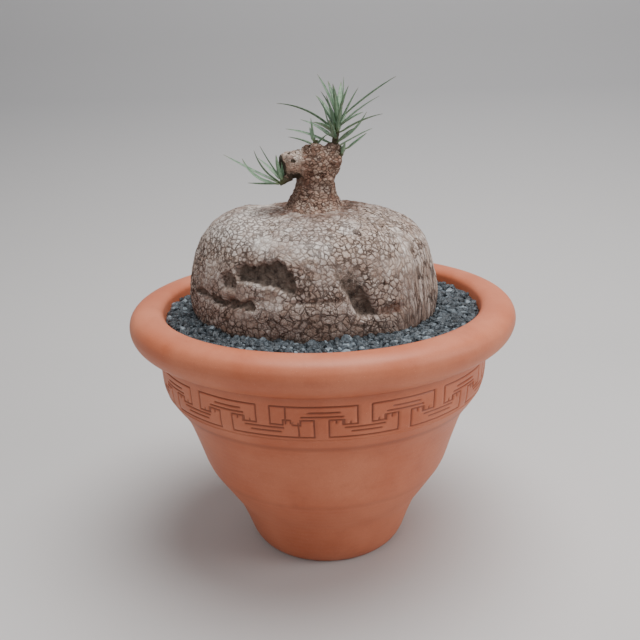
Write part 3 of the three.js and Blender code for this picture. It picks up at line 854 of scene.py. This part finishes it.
leafValues = {
    "steps": 34, "halfWidth": 2.2, "thickness": 0.55, "fold": 0.42, "twist": 28,
    "deep": (80, 108, 84), "mid": (116, 146, 116), "pale": (168, 188, 160), "base": (134, 146, 98),
    "tip": (104, 92, 62), "roughness": 0.46,
}


def midlineOf(node, count, root, order):
    # a smooth curve fitted along a slender node's own points, starting at the end nearer the root point
    points = nodePoints(node)
    centre = points.mean(0)
    direction = np.linalg.svd(points - centre, full_matrices=False)[2][0]
    along = (points - centre) @ direction
    ends = [points[along.argmin()], points[along.argmax()]]
    if np.linalg.norm(ends[0] - root) > np.linalg.norm(ends[1] - root):
        direction, along = -direction, -along
    t = np.linspace(along.min(), along.max(), count)
    return np.stack([np.polyval(np.polyfit(along, points[:, k], order), t) for k in range(3)], axis=1)


def makeShoot(name, path, low, high, seed):
    # a tapering stalk, knobbly where leaves have dropped off it
    rows, sides = 40, 20
    share = np.linspace(0, 1, rows)
    dense = curveThrough(path, rows)
    radii = low + (high - low) * share
    points = tube(dense, radii, sides)
    outward = points - dense[:, None, :]
    outward /= np.linalg.norm(outward, axis=-1, keepdims=True)
    knobs = 0.5 * noise(points, 2.6, seed) + 0.25 * noise(points, 1.2, seed + 1)
    points = points + outward * knobs[..., None]
    shoot = meshFrom(name, points.reshape(-1, 3), *closedPoles(rows, sides))
    setAttribute(shoot, "along", np.broadcast_to(share[:, None], (rows, sides)))
    return shoot


def shootMaterial(v):
    material, nodes, links, shader = newMaterial("youngBark")
    grain = textureAt(nodes, links, "ShaderNodeTexNoise", 750, inputs={"Detail": 5, "Roughness": 0.7})
    scales = textureAt(nodes, links, "ShaderNodeTexVoronoi", 620, feature="DISTANCE_TO_EDGE")
    colour = mixColour(nodes, links, ramp(nodes, links, attribute(nodes, "along"), 0.25, 0.9),
                       rgba(v["bark"]), rgba(v["green"]))
    colour = mixColour(nodes, links, ramp(nodes, links, grain.outputs[0], 0.4, 0.7, 0, 0.8), colour,
                       rgba(v["dark"]))
    colour = mixColour(nodes, links, ramp(nodes, links, scales.outputs["Distance"], 0.14, 0.0, 0, 0.7),
                       colour, rgba(v["dark"]))
    links.new(colour, shader.inputs["Base Color"])
    shader.inputs["Roughness"].default_value = v["roughness"]
    normal = bumpOn(nodes, links, grain.outputs[0], 0.6, 0.0005)
    links.new(bumpOn(nodes, links, scales.outputs["Distance"], 0.5, 0.0006, normal), shader.inputs["Normal"])
    return material


def makeLeaf(name, path, v, seed):
    # A narrow blade lofted along its midline: widest a quarter of the way out, drawn to a point, folded up
    # along the midrib, with a slow twist. Each ring runs over the upper face and back under.
    draw = np.random.default_rng(seed)
    steps = v["steps"]
    t = np.linspace(0, 1, steps)
    path = curveThrough(path, steps)
    along = np.gradient(path, axis=0)
    along /= np.linalg.norm(along, axis=1, keepdims=True)
    side = np.cross(along, [0, 0, 1.0])
    chord = path[-1] - path[0]
    spare = np.array([-chord[1], chord[0], 0.01])
    side = np.where(np.linalg.norm(side, axis=1, keepdims=True) > 0.35, side, -spare)
    flip = np.sign((side * side[:1]).sum(1))[:, None]
    side = side * np.where(flip == 0, 1, flip)
    side -= along * (side * along).sum(1, keepdims=True)
    side /= np.linalg.norm(side, axis=1, keepdims=True)
    face = np.cross(side, along)
    turn = np.radians(v["twist"]) * (draw.uniform(-1, 1) + t * draw.uniform(-1, 1))
    side, face = (np.cos(turn)[:, None] * side + np.sin(turn)[:, None] * face,
                  np.cos(turn)[:, None] * face - np.sin(turn)[:, None] * side)
    if face[:, 2].mean() < 0:
        side, face = -side, -face
    width = v["halfWidth"] * draw.uniform(0.82, 1.08) * (0.5 + 0.5 * smooth(t, 0, 0.25))
    width = width * (1 - 0.93 * t ** 3.2)
    across = np.array([-1, -0.6, -0.22, 0, 0.22, 0.6, 1, 0.6, 0.22, 0, -0.22, -0.6])
    below = np.array([0.35, 0, 0, 0, 0, 0, 0.35, 0.8, 1.0, 1.25, 1.0, 0.8])
    ripple = 1 + 0.05 * np.sin(t * 23 + draw.uniform(0, 6))
    thick = v["thickness"] * (1 - 0.75 * t ** 2)
    rise = v["fold"] * np.abs(across)[None, :] ** 1.3 * width[:, None] - below[None, :] * thick[:, None]
    points = (path[:, None, :] + side[:, None, :] * (across[None, :] * (width * ripple)[:, None])[..., None]
              + face[:, None, :] * rise[..., None])
    leaf = meshFrom(name, points.reshape(-1, 3), *closedPoles(steps, len(across)))
    setAttribute(leaf, "along", np.broadcast_to(t[:, None], (steps, len(across))))
    setAttribute(leaf, "across", np.broadcast_to(np.abs(across)[None, :], (steps, len(across))))
    setAttribute(leaf, "tone", np.full((steps, len(across)), draw.uniform(0, 1)))
    return leaf


def leafMaterial(v):
    # grey-green with a paler midrib, fine lengthwise streaks, a yellower foot and a drier tip
    material, nodes, links, shader = newMaterial("leafSkin")
    along, across, tone = (attribute(nodes, name) for name in ("along", "across", "tone"))
    streaks = textureAt(nodes, links, "ShaderNodeTexNoise", 520, inputs={"Detail": 4, "Roughness": 0.6})
    colour = mixColour(nodes, links, tone, rgba(v["deep"]), rgba(v["mid"]))
    colour = mixColour(nodes, links, ramp(nodes, links, streaks.outputs[0], 0.42, 0.66, 0, 0.4), colour,
                       rgba(v["pale"]))
    rib = ramp(nodes, links, across, 0.3, 0.0, 0, 0.45)
    colour = mixColour(nodes, links, rib, colour, rgba(v["pale"]))
    colour = mixColour(nodes, links, ramp(nodes, links, along, 0.22, 0.0, 0, 0.75), colour, rgba(v["base"]))
    colour = mixColour(nodes, links, ramp(nodes, links, along, 0.86, 1.0, 0, 0.7), colour, rgba(v["tip"]))
    links.new(colour, shader.inputs["Base Color"])
    shader.inputs["Roughness"].default_value = v["roughness"]
    shader.inputs["Specular IOR Level"].default_value = 0.4
    ribs = nodeOf(nodes, "ShaderNodeTexWave", {"Scale": 2.2, "Distortion": 0.3}, bands_direction="X")
    where = nodeOf(nodes, "ShaderNodeCombineXYZ")
    links.new(across, where.inputs[0])
    links.new(where.outputs[0], ribs.inputs["Vector"])
    normal = bumpOn(nodes, links, ribs.outputs["Fac"], 0.4, 0.0002)
    links.new(bumpOn(nodes, links, streaks.outputs[0], 0.25, 0.0002, normal), shader.inputs["Normal"])
    return material


youngBark = shootMaterial(shootValues)
leafSkin = leafMaterial(leafValues)
shootRadii = {"crown": (3.4, 1.5), "small": (3.2, 1.8), "spur": (2.6, 1.2), "left": (4.0, 2.0)}
stemHeart = np.array([0.0, 0.0, 335.0])
for order, (shootName, (lowRadius, highRadius)) in enumerate(shootRadii.items()):
    stalkPath = midlineOf(f"shoot_{shootName}", 8, stemHeart, 1)
    lengthened = np.vstack([2 * stalkPath[0] - stalkPath[2], stalkPath])
    stalk = makeShoot(f"stalk_{shootName}", lengthened, lowRadius, highRadius, 200 + 10 * order)
    finishPiece(stalk, "shoot", youngBark, f"shoot_{shootName}")
    leafNodes = sorted(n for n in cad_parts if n.startswith(f"leaf_{shootName}_"))
    for k, leafNode in enumerate(leafNodes):
        stalkMiddle = stalkPath.mean(0)
        blade = midlineOf(leafNode, 9, stalkMiddle, 3)
        nearest = stalkPath[np.linalg.norm(stalkPath - blade[0], axis=1).argmin()]
        blade = np.vstack([blade[0] + 0.45 * (nearest - blade[0]), blade[1:]])
        piece = makeLeaf(f"blade_{shootName}_{k + 1:02d}", blade, leafValues, 300 + 40 * order + k)
        finishPiece(piece, "leaf", leafSkin, leafNode)
print("shoots and leaves made")


gritValues = {
    "reach": 134.2, "wallGap": 1.9, "caudexGap": 0.7, "jitter": 0.32,
    "spacing": 4.5, "size": 3.5, "layers": ((-1.6, 1.0), (0.7, 0.9)),
    "dark": (20, 24, 28), "mid": (50, 58, 65), "pale": (142, 154, 162), "roughness": 0.55,
}


def icosphere(levels):
    # the twenty-sided ball, each face split in four for each level
    g = (1 + 5 ** 0.5) / 2
    points = np.array([[-1, g, 0], [1, g, 0], [-1, -g, 0], [1, -g, 0], [0, -1, g], [0, 1, g], [0, -1, -g],
                       [0, 1, -g], [g, 0, -1], [g, 0, 1], [-g, 0, -1], [-g, 0, 1]], float)
    faces = np.array([[0, 11, 5], [0, 5, 1], [0, 1, 7], [0, 7, 10], [0, 10, 11], [1, 5, 9], [5, 11, 4],
                      [11, 10, 2], [10, 7, 6], [7, 1, 8], [3, 9, 4], [3, 4, 2], [3, 2, 6], [3, 6, 8],
                      [3, 8, 9], [4, 9, 5], [2, 4, 11], [6, 2, 10], [8, 6, 7], [9, 8, 1]])
    for _ in range(levels):
        middles = np.stack([points[faces[:, k]] + points[faces[:, (k + 1) % 3]] for k in range(3)], axis=1)
        start = len(points)
        keys = (middles / 2).round(6).reshape(-1, 3)
        fresh, where = np.unique(keys, axis=0, return_inverse=True)
        where = where.reshape(-1, 3) + start
        points = np.vstack([points, fresh])
        a, b, c = faces.T
        ab, bc, ca = where.T
        corners = ((a, ab, ca), (b, bc, ab), (c, ca, bc), (ab, bc, ca))
        faces = np.vstack([np.stack(f, axis=1) for f in corners])
    return points / np.linalg.norm(points, axis=1, keepdims=True), faces


def caudexEdge(angle, height, points):
    # how far the caudex reaches from the pot's axis in each direction, at the height of the grit
    row = np.abs(points[:, :, 2].mean(1) - height).argmin()
    ring = points[row, :, :2]
    around = np.arctan2(ring[:, 1], ring[:, 0])
    order = np.argsort(around)
    return np.interp(angle, around[order], np.hypot(*ring[order].T), period=2 * math.pi)


def scatterSpots(v, draw, height):
    # a jittered lattice of spots over the ring between the caudex and the pot's wall
    reach = v["reach"]
    step = v["spacing"]
    x, y = np.meshgrid(np.arange(-reach, reach, step), np.arange(-reach, reach, step * 0.87))
    x = x + (np.arange(x.shape[0])[:, None] % 2) * step / 2
    jitter = v["jitter"]
    x = x.ravel() + draw.uniform(-jitter, jitter, x.size) * step
    y = y.ravel() + draw.uniform(-jitter, jitter, y.size) * step
    r = np.hypot(x, y)
    inner = caudexEdge(np.arctan2(y, x), height, caudexPoints)
    keep = (r < reach - v["wallGap"]) & (r > inner + v["caudexGap"])
    return x[keep], y[keep]


def makeGrit(name, v, lift, sizeShare, seed):
    # each stone is a ball cut flat by random planes, stretched and turned
    draw = np.random.default_rng(seed)
    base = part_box("gravel")[1][2] / mm
    x, y = scatterSpots(v, draw, base)
    count = len(x)
    ball, faces = icosphere(1)
    points = np.broadcast_to(ball, (count, len(ball), 3)).copy()
    for _ in range(8):
        n = draw.normal(size=(count, 1, 3))
        n /= np.linalg.norm(n, axis=-1, keepdims=True)
        over = (points * n).sum(-1, keepdims=True) - draw.uniform(0.48, 0.8, (count, 1, 1))
        points = points - n * np.maximum(over, 0)
    size = v["size"] * sizeShare * draw.lognormal(0, 0.2, (count, 1, 1))
    points = points * size * draw.uniform(0.72, 1.22, (count, 1, 3))
    a = draw.normal(size=(count, 3))
    b = draw.normal(size=(count, 3))
    a /= np.linalg.norm(a, axis=1, keepdims=True)
    b -= a * (a * b).sum(1, keepdims=True)
    b /= np.linalg.norm(b, axis=1, keepdims=True)
    turned = np.stack([a, b, np.cross(a, b)], axis=1)
    points = np.einsum("nij,njk->nik", points, turned)
    ground = np.stack([x, y, x * 0], axis=-1)
    z = base + lift + 0.9 * noise(ground, 18, 131) + draw.uniform(-0.6, 0.6, count)
    points = points + np.stack([x, y, z], axis=-1)[:, None, :]
    allFaces = (faces[None] + (np.arange(count) * len(ball))[:, None, None]).reshape(-1, 3)
    stones = meshFrom(name, points.reshape(-1, 3), np.zeros((0, 4), int), allFaces, shadeSmooth=False)
    setAttribute(stones, "tone", np.repeat(draw.uniform(0, 1, count), len(ball)))
    return stones


def gritMaterial(v):
    # crushed dark blue-grey stone, each grain with its own shade, a few pale ones, mineral specks
    material, nodes, links, shader = newMaterial("grit")
    tone = attribute(nodes, "tone")
    grain = textureAt(nodes, links, "ShaderNodeTexNoise", 900, inputs={"Detail": 5, "Roughness": 0.7})
    veins = textureAt(nodes, links, "ShaderNodeTexVoronoi", 500)
    colour = mixColour(nodes, links, ramp(nodes, links, tone, 0.0, 0.8), rgba(v["dark"]), rgba(v["mid"]))
    colour = mixColour(nodes, links, ramp(nodes, links, tone, 0.86, 0.97, 0, 0.8), colour, rgba(v["pale"]))
    colour = mixColour(nodes, links, ramp(nodes, links, grain.outputs[0], 0.45, 0.7, 0, 0.5), colour,
                       rgba(v["pale"]))
    colour = mixColour(nodes, links, ramp(nodes, links, veins.outputs["Distance"], 0.5, 0.8, 0, 0.5), colour,
                       rgba(v["dark"]))
    links.new(colour, shader.inputs["Base Color"])
    shader.inputs["Roughness"].default_value = v["roughness"]
    links.new(bumpOn(nodes, links, grain.outputs[0], 0.5, 0.0006), shader.inputs["Normal"])
    return material


def soilMaterial():
    material, nodes, links, shader = newMaterial("pottingMix")
    crumbs = textureAt(nodes, links, "ShaderNodeTexVoronoi", 330)
    fibre = textureAt(nodes, links, "ShaderNodeTexNoise", 480, inputs={"Detail": 6, "Roughness": 0.7})
    colour = mixColour(nodes, links, ramp(nodes, links, fibre.outputs[0], 0.35, 0.7), rgba((44, 33, 26)),
                       rgba((92, 72, 54)))
    colour = mixColour(nodes, links, ramp(nodes, links, crumbs.outputs["Distance"], 0.2, 0.7, 0, 0.7), colour,
                       rgba((24, 18, 14)))
    links.new(colour, shader.inputs["Base Color"])
    shader.inputs["Roughness"].default_value = 0.95
    links.new(bumpOn(nodes, links, crumbs.outputs["Distance"], 0.8, 0.0015), shader.inputs["Normal"])
    return material


grit = gritMaterial(gritValues)
for k, (lift, sizeShare) in enumerate(gritValues["layers"]):
    stones = makeGrit(f"gritLayer_{k + 1}", gritValues, lift, sizeShare, 400 + k)
    finishPiece(stones, "grit", grit)
    print("grit layer made:", len(stones.data.polygons), "faces")


def dressNode(node, material):
    # a CAD piece that keeps its own mesh gets a finish
    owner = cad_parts[node]
    owner.data.materials.clear()
    owner.data.materials.append(material)


dressNode("gravel", grit)
dressNode("potting_mix", soilMaterial())
print("potting mix dressed")
